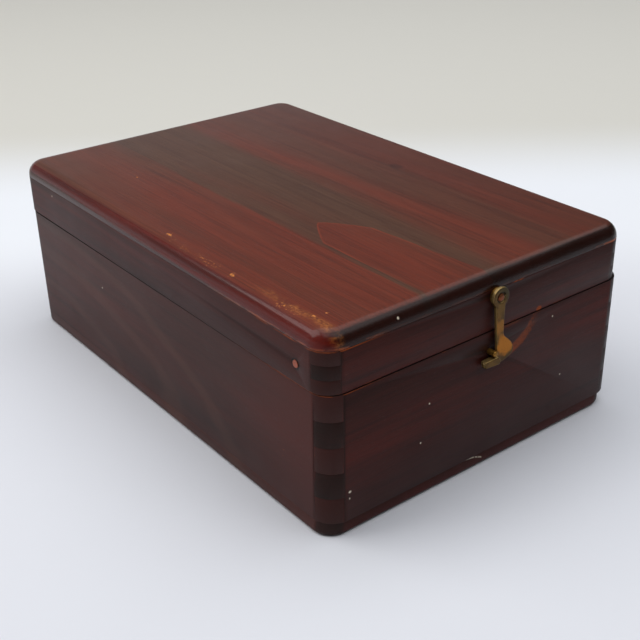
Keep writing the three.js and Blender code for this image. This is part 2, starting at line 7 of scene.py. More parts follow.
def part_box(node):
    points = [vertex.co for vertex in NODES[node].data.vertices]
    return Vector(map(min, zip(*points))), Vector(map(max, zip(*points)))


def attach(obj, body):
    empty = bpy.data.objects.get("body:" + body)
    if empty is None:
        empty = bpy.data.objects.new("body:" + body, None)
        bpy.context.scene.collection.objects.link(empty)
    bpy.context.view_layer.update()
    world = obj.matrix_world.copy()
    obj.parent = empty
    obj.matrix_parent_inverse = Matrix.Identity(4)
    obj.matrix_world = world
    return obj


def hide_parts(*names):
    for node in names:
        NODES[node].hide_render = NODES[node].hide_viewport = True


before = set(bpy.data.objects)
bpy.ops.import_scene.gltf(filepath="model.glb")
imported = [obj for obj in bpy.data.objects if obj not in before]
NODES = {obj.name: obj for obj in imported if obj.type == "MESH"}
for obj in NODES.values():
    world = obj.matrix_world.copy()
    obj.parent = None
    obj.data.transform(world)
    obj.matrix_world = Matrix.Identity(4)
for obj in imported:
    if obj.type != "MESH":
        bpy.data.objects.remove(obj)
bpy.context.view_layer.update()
MM = 0.001

# ---------------------------------------------------------------- camera
AZIMUTH, ELEVATION, ROLL = (math.radians(a) for a in (-37.293, 27.575, -1.232))
SENSOR, LENS = 36, 60.911
CAMERA_OFFSET = Vector((9.29, 20.625, 658.812)) * MM

back = Vector(
    (
        math.sin(AZIMUTH) * math.cos(ELEVATION),
        -math.cos(AZIMUTH) * math.cos(ELEVATION),
        math.sin(ELEVATION),
    )
)
right = Vector((0, 0, 1)).cross(back).normalized()
up = back.cross(right)
rolled_right = math.cos(ROLL) * right + math.sin(ROLL) * up
rolled_up = -math.sin(ROLL) * right + math.cos(ROLL) * up
turn = Matrix((rolled_right, rolled_up, back)).transposed()
camera_data = bpy.data.cameras.new("camera")
camera_data.sensor_width = SENSOR
camera_data.lens = LENS
camera_data.clip_start = 0.02
camera_data.clip_end = 50
camera = bpy.data.objects.new("camera", camera_data)
camera.matrix_world = Matrix.Translation(turn @ CAMERA_OFFSET) @ turn.to_4x4()
scene = bpy.context.scene
scene.collection.objects.link(camera)
scene.camera = camera
scene.view_settings.view_transform = "Standard"


# ---------------------------------------------------------------- node helpers
class Graph:
    """Builds one material's nodes. Values are sockets or plain numbers."""

    def __init__(self, name):
        self.material = bpy.data.materials.new(name)
        self.material.use_nodes = True
        self.tree = self.material.node_tree
        self.tree.nodes.clear()
        self.output = self.tree.nodes.new("ShaderNodeOutputMaterial")
        self.shader = self.tree.nodes.new("ShaderNodeBsdfPrincipled")
        self.tree.links.new(self.shader.outputs[0], self.output.inputs["Surface"])
        self.coords = self.tree.nodes.new("ShaderNodeTexCoord")

    def put(self, socket, value):
        if isinstance(value, bpy.types.NodeSocket):
            self.tree.links.new(value, socket)
        elif isinstance(value, (tuple, list)) and len(value) == 3 and socket.type == "RGBA":
            socket.default_value = (*value, 1)
        else:
            socket.default_value = value

    def set(self, name, value):
        self.put(self.shader.inputs[name], value)

    def math(self, operation, a, b=0.0, c=0.0, clamp=False):
        node = self.tree.nodes.new("ShaderNodeMath")
        node.operation = operation
        node.use_clamp = clamp
        for socket, value in zip(node.inputs, (a, b, c)):
            self.put(socket, value)
        return node.outputs[0]

    def add(self, a, b):
        return self.math("ADD", a, b)

    def mul(self, a, b):
        return self.math("MULTIPLY", a, b)

    def split(self, vector):
        node = self.tree.nodes.new("ShaderNodeSeparateXYZ")
        self.put(node.inputs[0], vector)
        return node.outputs

    def join(self, x, y, z):
        node = self.tree.nodes.new("ShaderNodeCombineXYZ")
        for socket, value in zip(node.inputs, (x, y, z)):
            self.put(socket, value)
        return node.outputs[0]

    def stretch(self, vector, scale, move=(0, 0, 0)):
        node = self.tree.nodes.new("ShaderNodeMapping")
        self.put(node.inputs["Vector"], vector)
        node.inputs["Scale"].default_value = scale
        node.inputs["Location"].default_value = move
        return node.outputs[0]

    def noise(self, vector, scale, detail=3.0, rough=0.5, distort=0.0):
        node = self.tree.nodes.new("ShaderNodeTexNoise")
        self.put(node.inputs["Vector"], vector)
        node.inputs["Scale"].default_value = scale
        node.inputs["Detail"].default_value = detail
        node.inputs["Roughness"].default_value = rough
        node.inputs["Distortion"].default_value = distort
        return node.outputs["Fac"]

    def cells(self, vector, scale, feature="F1"):
        node = self.tree.nodes.new("ShaderNodeTexVoronoi")
        node.feature = feature
        self.put(node.inputs["Vector"], vector)
        node.inputs["Scale"].default_value = scale
        return node.outputs

    def ramp(self, value, low, high, smooth=True):
        """0 below low, 1 above high. With low above high it falls instead."""
        node = self.tree.nodes.new("ShaderNodeMapRange")
        node.interpolation_type = "SMOOTHSTEP" if smooth else "LINEAR"
        self.put(node.inputs["Value"], value)
        if low <= high:
            bounds = (low, high, 0.0, 1.0)
        else:
            bounds = (high, low, 1.0, 0.0)
        for name, number in zip(("From Min", "From Max", "To Min", "To Max"), bounds):
            node.inputs[name].default_value = number
        return node.outputs[0]

    def mix(self, share, a, b):
        node = self.tree.nodes.new("ShaderNodeMix")
        node.data_type = "RGBA"
        self.put(node.inputs[0], share)
        self.put(node.inputs[6], a)
        self.put(node.inputs[7], b)
        return node.outputs[2]

    def near(self, value, centre, full, gone):
        """1 within full of centre, falling to 0 at gone."""
        return self.ramp(self.math("ABSOLUTE", self.add(value, -centre)), gone, full)

    def radius(self, a, b):
        return self.math("SQRT", self.add(self.mul(a, a), self.mul(b, b)))

    def spot(self, a, b, at, half, ragged=0.0):
        """1 inside an ellipse at a place, with the given half sizes and a ragged edge."""
        reach = self.radius(
            self.mul(self.add(a, -at[0]), 1 / half[0]), self.mul(self.add(b, -at[1]), 1 / half[1])
        )
        return self.ramp(self.add(reach, ragged), 1.2, 0.7)

    def most(self, *values):
        result = values[0]
        for value in values[1:]:
            result = self.math("MAXIMUM", result, value)
        return result

    def bump(self, height, distance, strength=1.0):
        node = self.tree.nodes.new("ShaderNodeBump")
        node.inputs["Strength"].default_value = strength
        node.inputs["Distance"].default_value = distance
        self.put(node.inputs["Height"], height)
        self.put(self.shader.inputs["Normal"], node.outputs[0])


def srgb(r, g, b):
    """A colour as the screen shows it, 0 to 255, in linear light."""
    return tuple(
        (v / 255 / 12.92) if v / 255 <= 0.04045 else ((v / 255 + 0.055) / 1.055) ** 2.4
        for v in (r, g, b)
    )


# ---------------------------------------------------------------- stained wood
JOINT_Z, SEAM_Z = 99.0, 77.2
PIVOT_X, PIVOT_Z = 2.8, 95.6
PEG_Y, PEG_Z = -129.7, 87.4
HOOK_REACH = 36.2

STAIN = srgb(58, 22, 16)
STAIN_DARK = srgb(34, 13, 10)
STAIN_RED = srgb(78, 24, 15)
# Painted sheen: a grey laid on the left-hand boards for the reflection of the bright room.
SHEEN_GREY = srgb(70, 50, 45)
TOP_RED = srgb(114, 47, 29)
TOP_BROWN = srgb(103, 55, 37)
TOP_OLIVE = srgb(84, 59, 43)
TOP_DARK = srgb(84, 38, 26)
TOP_LINE = srgb(54, 24, 16)
CATHEDRAL = srgb(140, 54, 30)
NOSE_LEFT_SHADED_RED = srgb(92, 20, 12)
NOSE_SHADE_AND_GRAIN_BLACK = srgb(26, 12, 9)
WORN = srgb(158, 74, 30)
CHIP = srgb(206, 128, 62)
CREAM = srgb(226, 214, 190)
# Dark for pores and knocks, and painted shade in the seam gap and round the peg.
SOOT_AND_SHADE = srgb(17, 11, 9)
# Dark end grain, also laid on the rounded corners as painted shade.
END_GRAIN_AND_SHADE = srgb(32, 19, 14)


class Wood:
    """The coordinates and shared noises of one board, in millimetres."""

    def __init__(self, name, along, seed):
        self.g = g = Graph(name)
        self.seed = seed
        self.mm = g.stretch(g.coords.outputs["Object"], (1000, 1000, 1000))
        self.x, self.y, self.z = g.split(self.mm)
        self.nx, self.ny, self.nz = g.split(g.coords.outputs["Normal"])
        self.run, self.side, self.deep = {
            "x": (self.x, self.z, self.y),
            "y": (self.y, self.z, self.x),
            "top": (self.y, self.x, self.z),
        }[along]
        self.turned = g.join(self.run, self.side, self.deep)
        self.patchy = g.noise(g.stretch(self.mm, (0.07, 0.07, 0.3), (seed, 1, 8)), 1, 4, 0.62)
        self.grit = g.noise(g.stretch(self.mm, (0.8, 0.8, 0.8), (seed, 3, 3)), 1, 3, 0.6)

    def streaks(self, lengthwise, crosswise, slot, detail=3, rough=0.55, distort=0.0):
        g = self.g
        scale = (lengthwise, crosswise, crosswise)
        return g.noise(g.stretch(self.turned, scale, (self.seed, slot, slot)), 1, detail, rough, distort)


def finish_wood(w, colour, worn, chips, polish, specks_over=0.955, shine=0.0):
    """Pores, specks of paint, gloss and the slight unevenness of an old shellac coat."""
    g = w.g
    pores = w.streaks(0.16, 4.2, 7, 2, 0.6)
    pore = g.ramp(pores, 0.6, 0.7)
    colour = g.mix(g.mul(pore, 0.42), colour, SOOT_AND_SHADE)
    cell = g.cells(w.mm, 0.06)
    size = g.ramp(cell["Distance"], 0.036, 0.018)
    speck = g.mul(size, g.ramp(g.split(cell["Color"])[0], specks_over, specks_over + 0.005))
    colour = g.mix(g.mul(worn, 0.85), colour, WORN)
    colour = g.mix(g.mul(chips, 0.9), colour, CHIP)
    colour = g.mix(g.mul(speck, 0.7), colour, CREAM)
    g.set("Base Color", colour)
    smear = g.noise(g.stretch(w.mm, (0.03, 0.03, 0.03), (w.seed, 6, 6)), 1, 4, 0.6)
    rough = g.add(g.mul(smear, 0.16), polish)
    rough = g.add(g.add(rough, shine), g.mul(g.add(worn, chips), 0.25))
    g.set("Roughness", rough)
    wave = g.noise(g.stretch(w.turned, (0.012, 0.03, 0.03), (w.seed, 8, 8)), 1, 2, 0.5)
    fine = w.streaks(0.02, 0.9, 9)
    height = g.add(g.mul(pore, -0.2), g.mul(fine, 0.14))
    height = g.add(height, g.mul(wave, 2.2))
    height = g.add(height, g.add(g.mul(speck, 0.5), g.mul(g.add(worn, chips), -0.5)))
    g.bump(height, 0.0004, 0.5)
    return g.material


def side_wood(name, along, seed, figure=None, painted_sheen=0.0):
    """A wall or rail: fine straight grain, faint broad figure, dark end grain at the joints, rounded
    corners darkened partly as painted shade.
    """
    w = Wood(name, along, seed)
    g = w.g
    broad = w.streaks(0.004, 0.035, 5, 2)
    middle = w.streaks(0.007, 0.2, 2, 3)
    fine = w.streaks(0.02, 1.0, 4, 4, 0.6)
    colour = g.mix(g.ramp(broad, 0.36, 0.66), STAIN, STAIN_RED)
    colour = g.mix(g.mul(g.ramp(middle, 0.42, 0.7), 0.6), colour, STAIN_DARK)
    colour = g.mix(g.mul(g.ramp(fine, 0.45, 0.72), 0.4), colour, STAIN_DARK)
    if figure:
        colour = figure(w, colour)
    # End grain drinks more stain. The rounded corners are darkened as well: partly end grain, partly
    # painted shade.
    facing = w.nx if along == "x" else w.ny
    end = g.ramp(g.math("ABSOLUTE", facing), 0.5, 0.8)
    corner_grain_and_shade = g.ramp(g.math("ABSOLUTE", g.mul(w.nx, w.ny)), 0.02, 0.24)
    # Painted sheen: away from end grain and corners, the left-hand boards are greyed for the reflection
    # of the bright room on that side.
    if painted_sheen:
        plain = g.add(1.0, g.mul(g.most(end, corner_grain_and_shade), -1))
        colour = g.mix(g.mul(plain, painted_sheen), colour, SHEEN_GREY)
    colour = g.mix(g.mul(end, 0.45 if "lid" in name else 0.15), colour, END_GRAIN_AND_SHADE)
    colour = g.mix(g.mul(corner_grain_and_shade, 0.8), colour, END_GRAIN_AND_SHADE)
    if "left" in name:
        colour = g.mix(g.mul(g.ramp(w.y, -60, -140), 0.3), colour, STAIN_RED)
    # Painted shade on the level rims that face each other across the seam gap, laid on nearly black.
    level = g.ramp(g.math("ABSOLUTE", w.nz), 0.25, 0.8)
    rim = g.mul(level, g.near(w.z, SEAM_Z, 1.2, 3.0))
    colour = g.mix(g.mul(rim, 0.9), colour, SOOT_AND_SHADE)
    # Rubbed arrises: at the top-board joint, and at the seam towards the latch end.
    toward_latch = g.ramp(w.y, -50, -138)
    on_left = g.ramp(w.x, -60, -92)
    corner = g.mul(on_left, g.ramp(w.y, -70, -132))
    joint = g.near(w.z, JOINT_Z - 0.2, 0.2, 0.7)
    seam = g.near(w.z, SEAM_Z, 0.3, 0.9)
    bare = g.ramp(w.patchy, 0.6, 0.68)
    rubbed = g.ramp(w.patchy, 0.4, 0.6)
    worn = g.mul(joint, g.mul(g.most(bare, g.mul(rubbed, corner)), toward_latch))
    worn = g.most(worn, g.mul(seam, g.mul(corner, rubbed)))
    worn = g.most(worn, g.mul(g.mul(seam, bare), 0.4))
    chips = g.mul(g.ramp(w.grit, 0.72, 0.78), g.mul(corner, g.ramp(w.patchy, 0.5, 0.62)))
    extra = SIDE_MARKS.get(name)
    if extra:
        colour, worn, chips = extra(w, colour, worn, chips)
    upright = g.add(1.0, g.mul(level, -1))
    worn, chips = g.mul(worn, upright), g.mul(chips, upright)
    g.set("Specular IOR Level", 0.12 if "front" in name else 0.15)
    g.set("Coat Weight", 0.03)
    g.set("Coat Roughness", 0.3)
    return finish_wood(w, colour, worn, chips, 0.36)


def front_marks(w, colour, worn, chips):
    """Where the swinging hook has rubbed the front, and a few knocks and paint specks."""
    g = w.g
    dx, dz = g.add(w.x, -PIVOT_X), g.add(w.z, -PIVOT_Z)
    reach = g.add(g.radius(dx, dz), g.mul(g.add(w.patchy, -0.5), 2.0))
    swept = g.mul(g.near(reach, HOOK_REACH, 1.5, 3.4), g.ramp(w.z, 57, 61))
    swept = g.mul(swept, g.mul(g.ramp(w.x, 12, 15), g.ramp(w.x, 36, 26)))
    swept = g.mul(swept, g.ramp(g.add(w.grit, g.mul(w.x, -0.012)), -0.05, 0.28))
    knock = g.spot(w.x, w.z, (34.4, 78.2), (2.2, 1.7), g.mul(w.grit, 0.3))
    rim = g.mul(g.near(w.z, SEAM_Z - 0.6, 0.5, 1.4), g.near(w.x, 13, 5, 9))
    worn = g.most(worn, g.mul(swept, 0.6), g.mul(knock, 0.8), g.mul(rim, 0.2))
    blob = g.spot(w.x, w.z, (-86.9, 23.8), (1.1, 0.8), g.mul(w.grit, 0.4))
    drip = g.spot(w.x, w.z, (-87.1, 20.2), (0.5, 0.7), g.mul(w.grit, 0.4))
    dust = [g.spot(w.x, w.z, at, (0.45, 0.5)) for at in ((-38.5, 52), (-43.5, 32), (45, 70.5), (55, 33))]
    colour = g.mix(g.mul(g.most(blob, drip, *dust), 0.9), colour, CREAM)
    return colour, worn, chips


def lid_front_marks(w, colour, worn, chips):
    g = w.g
    knock = g.spot(w.x, w.z, (34.4, 78.2), (2.2, 1.7), g.mul(w.grit, 0.3))
    stain = g.spot(w.x, w.z, (PIVOT_X + 3.6, PIVOT_Z + 2.5), (5.5, 5.5), g.mul(w.patchy, 0.5))
    colour = g.mix(g.mul(stain, 0.6), colour, srgb(44, 42, 24))
    return colour, g.most(worn, knock), chips


def lid_left_marks(w, colour, worn, chips):
    """Painted shade in a dark ring round the peg, and a dark knock at the far end."""
    g = w.g
    ring = g.near(g.radius(g.add(w.y, -PEG_Y), g.add(w.z, -PEG_Z)), 2.3, 0.3, 1.1)
    knock = g.spot(w.y, w.z, (139, 90), (1.6, 1.0), g.mul(w.grit, 0.4))
    return g.mix(g.mul(g.most(ring, knock), 0.75), colour, SOOT_AND_SHADE), worn, chips


SIDE_MARKS = {
    "wood_front": front_marks,
    "wood_lid_front": lid_front_marks,
    "wood_lid_left": lid_left_marks,
}


def left_figure(w, colour):
    """Broad faint arches across the left wall, and redder wood towards the latch end."""
    g = w.g
    arch = g.radius(g.mul(g.add(w.y, -150), 0.36), g.mul(g.add(w.z, 8), 1.0))
    arch = g.add(arch, g.mul(g.add(w.streaks(0.008, 0.03, 6, 2), -0.5), 16))
    pale = g.most(g.near(arch, 63, 1.5, 5), g.near(arch, 40, 1, 4), g.near(arch, 82, 1, 4))
    colour = g.mix(g.mul(pale, 0.28), colour, srgb(98, 62, 48))
    return g.mix(g.mul(g.ramp(w.y, -60, -145), 0.6), colour, STAIN_RED)


def top_board():
    """The lid's top: straight grain, an olive-brown heart that ends in a cathedral point, and
    a glossy nosing painted with shade, deep red on the left and nearly black on the front."""
    w = Wood("wood_top", "top", 1.7)
    g, x, y = w.g, w.x, w.y
    broad = w.streaks(0.003, 0.03, 5, 2)
    middle = w.streaks(0.006, 0.17, 2, 3)
    fine = w.streaks(0.02, 1.5, 4, 4, 0.62)
    hair = w.streaks(0.014, 3.2, 11, 2, 0.5)
    ragged = g.mul(g.add(w.streaks(0.03, 0.35, 3, 3), -0.5), 5)
    sway = g.mul(g.add(w.streaks(0.007, 0.02, 6, 2), -0.5), 16)

    # The cathedral: a point towards the hinges whose legs run on to the latch edge.
    down = g.math("MAXIMUM", g.mul(g.add(y, 47), -1 / 24), 0.0)
    half = g.add(g.mul(g.math("MINIMUM", g.math("POWER", down, 0.72), 1.0), 17), -1.5)
    half = g.add(half, g.mul(g.math("MAXIMUM", g.add(down, -1.0), 0.0), 1.2))
    off = g.math("ABSOLUTE", g.add(g.add(x, 24), g.mul(g.add(y, 48), 0.05)))
    within = g.add(g.add(half, g.mul(off, -1)), g.mul(ragged, 0.3))
    arch = g.ramp(within, -0.5, 1.0)
    outline = g.mul(g.near(within, 0.3, 0.15, 0.7), g.ramp(g.add(x, g.mul(y, -0.25)), -28, -14))
    outline = g.mul(outline, g.ramp(g.add(middle, g.mul(down, -0.05)), 0.2, 0.5))

    # The olive band runs from its straight left edge to a soft right edge.
    start = g.ramp(g.add(x, ragged), -42.5, -39.5)
    stop = g.ramp(g.add(g.add(x, sway), g.mul(ragged, 2)), 30, 4)
    heart = g.mul(g.mul(start, stop), g.add(1.0, g.mul(arch, -1)))
    second = g.mul(g.near(g.add(g.add(x, sway), g.mul(y, 0.05)), 46, 3, 22), 0.6)
    third = g.mul(g.near(g.add(x, g.mul(ragged, 1.5)), 60, 0.5, 6), g.ramp(y, 20, -10))
    # Painted sheen: towards the hinge end the top takes the greyer olive tone, for the grey sheen seen
    # there at a grazing angle.
    far_sheen = g.ramp(y, 20, 120)
    olive = g.most(heart, second, g.mul(third, 0.7), g.mul(far_sheen, 0.55))
    olive = g.mul(olive, g.ramp(broad, 0.1, 0.5))

    colour = g.mix(g.ramp(broad, 0.35, 0.68), TOP_RED, TOP_BROWN)
    colour = g.mix(g.mul(olive, 0.85), colour, TOP_OLIVE)
    colour = g.mix(g.mul(g.ramp(middle, 0.48, 0.74), 0.3), colour, TOP_LINE)
    colour = g.mix(g.mul(g.ramp(x, -10, 95), 0.55), colour, TOP_DARK)
    colour = g.mix(g.mul(g.ramp(fine, 0.42, 0.66), 0.42), colour, TOP_LINE)
    colour = g.mix(g.mul(g.ramp(hair, 0.44, 0.64), 0.42), colour, TOP_LINE)
    streak = g.mul(g.near(g.add(g.add(x, g.mul(y, 0.07)), ragged), 26, 1.5, 9), g.ramp(y, 75, 30))
    colour = g.mix(g.mul(streak, 0.22), colour, TOP_RED)
    colour = g.mix(g.mul(outline, 0.6), colour, CATHEDRAL)
    dent = g.spot(x, y, (64, -9), (4.5, 6.5), g.mul(w.grit, 0.5))
    colour = g.mix(g.mul(dent, 0.4), colour, STAIN_DARK)

    # The nosing. It is judged by how far the face has turned from level, and painted with shade: deep
    # red to the left, nearly black to the front.
    turned_over = g.ramp(w.nz, 0.94, 0.8)
    to_left = g.ramp(w.nx, -0.1, -0.5)
    nose = g.mix(to_left, NOSE_SHADE_AND_GRAIN_BLACK, NOSE_LEFT_SHADED_RED)
    nose = g.mix(g.mul(g.ramp(middle, 0.4, 0.7), 0.5), nose, NOSE_SHADE_AND_GRAIN_BLACK)
    colour = g.mix(g.mul(turned_over, 0.92), colour, nose)
    # Down its left side the painted red stops short of the joint, and more so towards the hinges; below
    # it lies a painted grey sheen like the rail's.
    red_foot = g.add(g.mul(y, 0.012), 101.2)
    below = g.ramp(g.add(w.z, g.mul(red_foot, -1)), 0.4, -0.7)
    colour = g.mix(g.mul(g.mul(below, to_left), 0.85), colour, srgb(62, 40, 35))

    # Chips along the left arris, a painted orange highlight at the near corner, rubbed lower arrises.
    left_arris = g.near(x, -93.5, 1.0, 3.6)
    along = g.mul(g.ramp(y, 30, -20), g.ramp(w.streaks(0.05, 0.06, 12, 3), 0.5, 0.62))
    chips = g.mul(g.mul(left_arris, along), g.ramp(w.grit, 0.55, 0.66))
    named = [
        g.spot(x, y, at, half, g.mul(g.add(w.grit, -0.35), 3.2))
        for at, half in (
            ((-91.5, -11), (1.9, 3.0)),
            ((-93.5, -72), (2.2, 2.4)),
            ((-62, 75), (0.8, 1.2)),
            ((-90, -130), (1.4, 1.4)),
            ((-84, -131), (1.0, 0.8)),
        )
    ]
    chips = g.most(chips, *named)
    corner_highlight = g.mul(g.near(x, -91.5, 1, 4), g.ramp(y, -60, -128))
    corner_highlight = g.mul(corner_highlight, g.mul(g.ramp(w.patchy, 0.4, 0.65), g.ramp(w.grit, 0.3, 0.6)))
    colour = g.mix(g.mul(corner_highlight, 0.4), colour, CHIP)
    toward_latch = g.ramp(y, -40, -130)
    lower = g.mul(g.near(w.z, JOINT_Z + 0.1, 0.5, 1.4), g.ramp(w.patchy, 0.42, 0.62))
    worn = g.mul(lower, g.mul(toward_latch, g.ramp(g.math("ABSOLUTE", x), 60, 85)))
    worn = g.most(worn, g.mul(g.mul(lower, g.ramp(y, -140, -148)), 0.12))
    speck = g.spot(x, w.z, (-58, 103.3), (0.8, 0.8), g.mul(w.grit, 0.4))
    speck = g.mul(speck, g.ramp(y, -120, -140))
    colour = g.mix(g.mul(speck, 0.85), colour, CREAM)
    g.set("Specular IOR Level", 0.2)
    to_front = g.mul(turned_over, g.ramp(w.ny, -0.1, -0.5))
    g.set("Coat Weight", g.add(0.16, g.mul(to_front, -0.14)))
    g.set("Coat Roughness", 0.08)
    return finish_wood(w, colour, worn, chips, 0.32, 0.93, g.mul(turned_over, -0.16))


def base_marks(w, colour, worn, chips):
    """A curved white scratch on the front edge, and a paler, drier underside."""
    g = w.g
    under = g.ramp(w.nz, -0.5, -0.9)
    colour = g.mix(g.mul(under, 0.5), colour, srgb(104, 74, 54))
    sag = g.add(g.mul(g.math("POWER", g.mul(g.add(w.x, 12), 0.08), 2.0), -3.4), 7.4)
    line = g.near(g.add(w.z, g.mul(sag, -1)), 0, 0.22, 0.6)
    line = g.mul(line, g.mul(g.near(w.x, -5.4, 5, 6), g.ramp(w.ny, -0.3, -0.8)))
    line = g.mul(line, g.ramp(w.grit, 0.3, 0.5))
    return g.mix(g.mul(line, 0.9), colour, CREAM), worn, chips


SIDE_MARKS["wood_base"] = base_marks


# ---------------------------------------------------------------- other materials
def bare_wood(name, along, seed):
    """Planed cedar with no finish, a little darkened by age."""
    g = Graph(name)
    mm = g.stretch(g.coords.outputs["Object"], (1000, 1000, 1000))
    x, y, z = g.split(mm)
    run, side, deep = (x, y, z) if along == "x" else (y, x, z)
    turned = g.join(run, side, deep)
    drift = g.noise(g.stretch(turned, (0.008, 0.02, 0.02), (seed, 0, 0)), 1, 2, 0.5)
    rings = g.add(g.mul(g.add(side, deep), 0.16), g.mul(drift, 6))
    phase = g.math("FRACT", rings)
    late = g.mul(g.ramp(phase, 0.3, 0.9), g.ramp(phase, 1.0, 0.92))
    fine = g.noise(g.stretch(turned, (0.04, 1.6, 1.6), (seed, 2, 1)), 1, 4, 0.6)
    colour = g.mix(g.mul(late, 0.6), srgb(158, 112, 74), srgb(118, 74, 44))
    colour = g.mix(g.mul(g.ramp(fine, 0.4, 0.72), 0.4), colour, srgb(104, 66, 40))
    stain = g.noise(g.stretch(mm, (0.02, 0.02, 0.02), (seed, 5, 5)), 1, 3, 0.6)
    colour = g.mix(g.mul(g.ramp(stain, 0.5, 0.75), 0.35), colour, srgb(88, 56, 36))
    g.set("Base Color", colour)
    g.set("Roughness", g.add(g.mul(fine, 0.2), 0.55))
    g.bump(g.add(g.mul(fine, 0.5), g.mul(late, 0.15)), 0.0002, 0.5)
    return g.material


def old_brass(name, seed, tint=None):
    """Tarnished brass: brown film, duller pits, and bright metal where it is rubbed."""
    g = Graph(name)
    mm = g.stretch(g.coords.outputs["Object"], (1000, 1000, 1000))
    blotch = g.noise(g.stretch(mm, (0.12, 0.12, 0.12), (seed, 0, 0)), 1, 4, 0.55)
    pits = g.noise(g.stretch(mm, (2.6, 2.6, 2.6), (seed, 2, 0)), 1, 3, 0.6)
    green = g.noise(g.stretch(mm, (0.4, 0.4, 0.4), (seed, 7, 3)), 1, 4, 0.6)
    film = g.ramp(blotch, 0.35, 0.75)
    colour = g.mix(film, tint or srgb(168, 122, 52), srgb(92, 66, 30))
    colour = g.mix(g.mul(g.ramp(pits, 0.55, 0.75), 0.35), colour, srgb(62, 44, 24))
    colour = g.mix(g.mul(g.ramp(green, 0.62, 0.74), 0.5), colour, srgb(86, 98, 66))
    g.set("Base Color", colour)
    g.set("Metallic", 0.85)
    g.set("Roughness", g.add(g.mul(film, 0.22), g.add(g.mul(pits, 0.16), 0.3)))
    g.bump(g.add(g.mul(pits, 0.4), g.mul(blotch, 0.6)), 0.00012, 0.6)
    return g.material


def hook_brass():
    """The swing hook: olive film round the eye, golden where fingers pull it, painted shade in the
    counterbore, painted highlights on the edges facing the light.
    """
    g = Graph("brass_hook_plate")
    mm = g.stretch(g.coords.outputs["Object"], (1000, 1000, 1000))
    x, _, z = g.split(mm)
    nx, ny, nz = g.split(g.coords.outputs["Normal"])
    blotch = g.noise(g.stretch(mm, (0.22, 0.22, 0.22), (4, 0, 0)), 1, 4, 0.6)
    pits = g.noise(g.stretch(mm, (1.8, 1.8, 1.8), (4, 2, 0)), 1, 4, 0.65)
    olive, gold, film = srgb(100, 72, 26), srgb(176, 108, 22), srgb(74, 52, 20)
    belly = g.spot(x, z, (7.5, 69), (6, 6.5), g.mul(g.add(blotch, -0.5), 1.2))
    shank = g.spot(x, z, (3, 80), (4, 5), g.mul(g.add(blotch, -0.5), 2.0))
    colour = g.mix(g.ramp(blotch, 0.35, 0.65), olive, film)
    colour = g.mix(g.mul(shank, 0.7), colour, srgb(150, 98, 34))
    colour = g.mix(g.mul(belly, 0.85), colour, gold)
    eye = g.radius(g.add(x, -PIVOT_X), g.add(z, -PIVOT_Z))
    green = g.mul(g.near(eye, 3.9, 0.9, 2.0), g.ramp(g.add(x, z), 97, 102))
    colour = g.mix(g.mul(green, 0.6), colour, srgb(40, 44, 26))
    # Painted shade in the counterbore round the screw head.
    well = g.ramp(eye, 3.3, 2.7)
    colour = g.mix(g.mul(well, 0.7), colour, srgb(34, 24, 16))
    colour = g.mix(g.mul(g.ramp(pits, 0.56, 0.7), 0.55), colour, srgb(58, 42, 22))
    # Painted highlight: pale brass on the side edges that face up and to the left, towards the light.
    side = g.ramp(ny, -0.92, -0.6)
    painted_highlight = g.ramp(g.add(g.mul(nx, -0.6), nz), 0.1, 0.6)
    colour = g.mix(g.mul(g.mul(side, painted_highlight), 0.45), colour, srgb(200, 170, 112))
    g.set("Base Color", colour)
    g.set("Metallic", 0.82)
    g.set("Roughness", g.add(g.mul(pits, 0.22), 0.34))
    g.bump(g.add(g.mul(pits, 0.5), g.mul(blotch, 0.5)), 0.00015, 0.6)
    return g.material


def velvet(name, colour, deep, seed, scale=1.0):
    """A short pile with brushed patches."""
    g = Graph(name)
    mm = g.stretch(g.coords.outputs["Object"], (1000, 1000, 1000))
    brushed = g.noise(g.stretch(mm, (0.05, 0.09, 0.09), (seed, 1, 1)), 1, 4, 0.6)
    pile = g.noise(mm, 3.2 * scale, 2, 0.7)
    tone = g.mix(g.ramp(brushed, 0.05, 0.7), deep, colour)
    tone = g.mix(g.mul(g.ramp(pile, 0.35, 0.7), 0.5), tone, deep)
    g.set("Base Color", tone)
    g.set("Roughness", 0.95)
    g.set("Specular IOR Level", 0.1)
    g.set("Sheen Weight", 0.8)
    g.set("Sheen Roughness", 0.35)
    g.set("Sheen Tint", (*srgb(214, 120, 116), 1))
    g.bump(g.add(pile, g.mul(brushed, 0.5)), 0.0003, 0.7)
    return g.material


def paint(obj, material):
    obj.data.materials.clear()
    obj.data.materials.append(material)


# ---------------------------------------------------------------- boards
def soften(obj, width, segments=2, angle=32):
    """Eases the edges of a CAD solid and shades its rounded faces smoothly."""
    weld = obj.modifiers.new("weld", "WELD")
    weld.merge_threshold = 2e-6
    plane = obj.modifiers.new("plane", "DECIMATE")
    plane.decimate_type = "DISSOLVE"
    plane.angle_limit = math.radians(0.4)
    ease = obj.modifiers.new("ease", "BEVEL")
    ease.width = width * MM
    ease.segments = segments
    ease.limit_method = "ANGLE"
    ease.angle_limit = math.radians(angle)
    ease.harden_normals = True
    ease.use_clamp_overlap = True
    for polygon in obj.data.polygons:
        polygon.use_smooth = True


